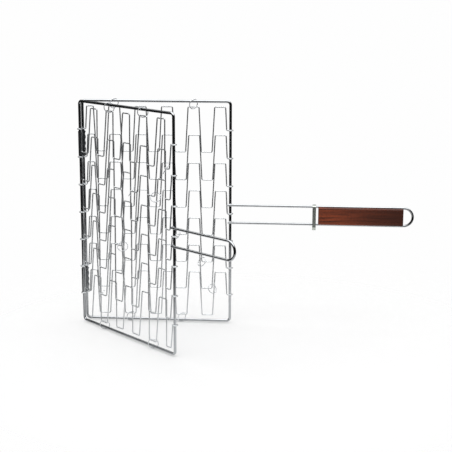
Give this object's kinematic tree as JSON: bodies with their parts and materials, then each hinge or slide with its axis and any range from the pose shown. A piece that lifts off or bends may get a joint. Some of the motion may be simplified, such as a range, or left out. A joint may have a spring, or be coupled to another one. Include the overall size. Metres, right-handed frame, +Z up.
{
  "type": "grill basket",
  "caption": "Flexible wire grill basket: two hinged panels of wave wires, a lid loop and lock ring, and a long wire handle with a rosewood grip.",
  "frame": {"origin": "middle of the footprint, on the surface the opened basket stands on", "axes": "+X along the handle, away from the panels; +Z up, along the panels' hinge side; the lid opens towards -Y"},
  "size_m": [0.507, 0.2564, 0.3472],
  "materials": {
    "frame_wire": "bright chrome-plated steel wire",
    "wave_wire": "bright chrome-plated steel wire",
    "split_ring": "bright chrome-plated steel wire",
    "hinge_clip": "plated sheet steel, as folded",
    "lock_strip": "plated steel strip, satin",
    "rosewood": "oiled, open-grained rosewood"
  },
  "bodies": {
    "base": {"base_frame": "frame_wire", "handle_wire": "frame_wire", "wood_grip": "rosewood", "hinge_clip_upper": "hinge_clip", "hinge_clip_lower": "hinge_clip", "base_top_rings": "split_ring", "base_foot_rings": "split_ring"},
    "lid": {"lid_frame": "frame_wire", "lid_loop": "frame_wire", "lid_top_rings": "split_ring", "lid_foot_rings": "split_ring"},
    "lock_ring": {"lock_ring": "lock_strip"},
    "base_strand_1": {"base_strand_1": "wave_wire"},
    "base_strand_2": {"base_strand_2": "wave_wire"},
    "base_strand_3": {"base_strand_3": "wave_wire"},
    "base_strand_4": {"base_strand_4": "wave_wire", "base_link_ring_4": "split_ring"},
    "base_strand_5": {"base_strand_5": "wave_wire", "base_link_ring_5": "split_ring"},
    "base_strand_6": {"base_strand_6": "wave_wire", "base_link_ring_6": "split_ring"},
    "base_strand_7": {"base_strand_7": "wave_wire"},
    "lid_strand_1": {"lid_strand_1": "wave_wire", "lid_link_ring_1": "split_ring"},
    "lid_strand_2": {"lid_strand_2": "wave_wire", "lid_link_ring_2": "split_ring", "lid_link_ring_3": "split_ring"},
    "lid_strand_3": {"lid_strand_3": "wave_wire"},
    "lid_strand_4": {"lid_strand_4": "wave_wire", "lid_link_ring_4": "split_ring"},
    "lid_strand_5": {"lid_strand_5": "wave_wire"},
    "lid_strand_6": {"lid_strand_6": "wave_wire", "lid_link_ring_5": "split_ring"},
    "lid_strand_7": {"lid_strand_7": "wave_wire"}
  },
  "joints": [
    {"name": "lid_swing", "type": "hinge", "parent": "base", "child": "lid", "pos_m": [-0.2492, 0.1108, 0.17361], "axis": [0, 0, -1], "range_deg": [-44, 136]},
    {"name": "lock_ring_slide", "type": "slide", "parent": "base", "child": "lock_ring", "axis": [1, 0, 0], "range_m": [-0.0206, 0.003]},
    {"name": "base_strand_tilt_1", "type": "hinge", "parent": "base", "child": "base_strand_1", "pos_m": [-0.135, 0.1213, 0.30061], "axis": [-1, 0, 0], "range_deg": [0, 2]},
    {"name": "base_strand_tilt_2", "type": "hinge", "parent": "base", "child": "base_strand_2", "pos_m": [-0.135, 0.1213, 0.25815], "axis": [-1, 0, 0], "range_deg": [0, 2]},
    {"name": "base_strand_tilt_3", "type": "hinge", "parent": "base", "child": "base_strand_3", "pos_m": [-0.135, 0.1213, 0.21568], "axis": [-1, 0, 0], "range_deg": [0, 2]},
    {"name": "base_strand_tilt_4", "type": "hinge", "parent": "base", "child": "base_strand_4", "pos_m": [-0.135, 0.1213, 0.17321], "axis": [-1, 0, 0], "range_deg": [0, 2]},
    {"name": "base_strand_tilt_5", "type": "hinge", "parent": "base", "child": "base_strand_5", "pos_m": [-0.135, 0.1213, 0.13075], "axis": [-1, 0, 0], "range_deg": [0, 2]},
    {"name": "base_strand_tilt_6", "type": "hinge", "parent": "base", "child": "base_strand_6", "pos_m": [-0.135, 0.1213, 0.08828], "axis": [-1, 0, 0], "range_deg": [0, 2]},
    {"name": "base_strand_tilt_7", "type": "hinge", "parent": "base", "child": "base_strand_7", "pos_m": [-0.135, 0.1213, 0.04581], "axis": [-1, 0, 0], "range_deg": [0, 2]},
    {"name": "lid_strand_tilt_1", "type": "hinge", "parent": "lid", "child": "lid_strand_1", "pos_m": [-0.16863, 0.033, 0.30141], "axis": [-0.7193, 0.6947, 0], "range_deg": [0, 2]},
    {"name": "lid_strand_tilt_2", "type": "hinge", "parent": "lid", "child": "lid_strand_2", "pos_m": [-0.16863, 0.033, 0.25894], "axis": [-0.7193, 0.6947, 0], "range_deg": [0, 2]},
    {"name": "lid_strand_tilt_3", "type": "hinge", "parent": "lid", "child": "lid_strand_3", "pos_m": [-0.16863, 0.033, 0.21648], "axis": [-0.7193, 0.6947, 0], "range_deg": [0, 2]},
    {"name": "lid_strand_tilt_4", "type": "hinge", "parent": "lid", "child": "lid_strand_4", "pos_m": [-0.16863, 0.033, 0.17401], "axis": [-0.7193, 0.6947, 0], "range_deg": [0, 2]},
    {"name": "lid_strand_tilt_5", "type": "hinge", "parent": "lid", "child": "lid_strand_5", "pos_m": [-0.16863, 0.033, 0.13154], "axis": [-0.7193, 0.6947, 0], "range_deg": [0, 2]},
    {"name": "lid_strand_tilt_6", "type": "hinge", "parent": "lid", "child": "lid_strand_6", "pos_m": [-0.16863, 0.033, 0.08908], "axis": [-0.7193, 0.6947, 0], "range_deg": [0, 2]},
    {"name": "lid_strand_tilt_7", "type": "hinge", "parent": "lid", "child": "lid_strand_7", "pos_m": [-0.16863, 0.033, 0.04661], "axis": [-0.7193, 0.6947, 0], "range_deg": [0, 2]}
  ],
  "couplings": [
    {"joint": "base_strand_tilt_2", "follows": "base_strand_tilt_1", "ratio": 1},
    {"joint": "base_strand_tilt_3", "follows": "base_strand_tilt_1", "ratio": 1},
    {"joint": "base_strand_tilt_4", "follows": "base_strand_tilt_1", "ratio": 1},
    {"joint": "base_strand_tilt_5", "follows": "base_strand_tilt_1", "ratio": 1},
    {"joint": "base_strand_tilt_6", "follows": "base_strand_tilt_1", "ratio": 1},
    {"joint": "base_strand_tilt_7", "follows": "base_strand_tilt_1", "ratio": 1},
    {"joint": "lid_strand_tilt_2", "follows": "lid_strand_tilt_1", "ratio": 1},
    {"joint": "lid_strand_tilt_3", "follows": "lid_strand_tilt_1", "ratio": 1},
    {"joint": "lid_strand_tilt_4", "follows": "lid_strand_tilt_1", "ratio": 1},
    {"joint": "lid_strand_tilt_5", "follows": "lid_strand_tilt_1", "ratio": 1},
    {"joint": "lid_strand_tilt_6", "follows": "lid_strand_tilt_1", "ratio": 1},
    {"joint": "lid_strand_tilt_7", "follows": "lid_strand_tilt_1", "ratio": 1}
  ]
}
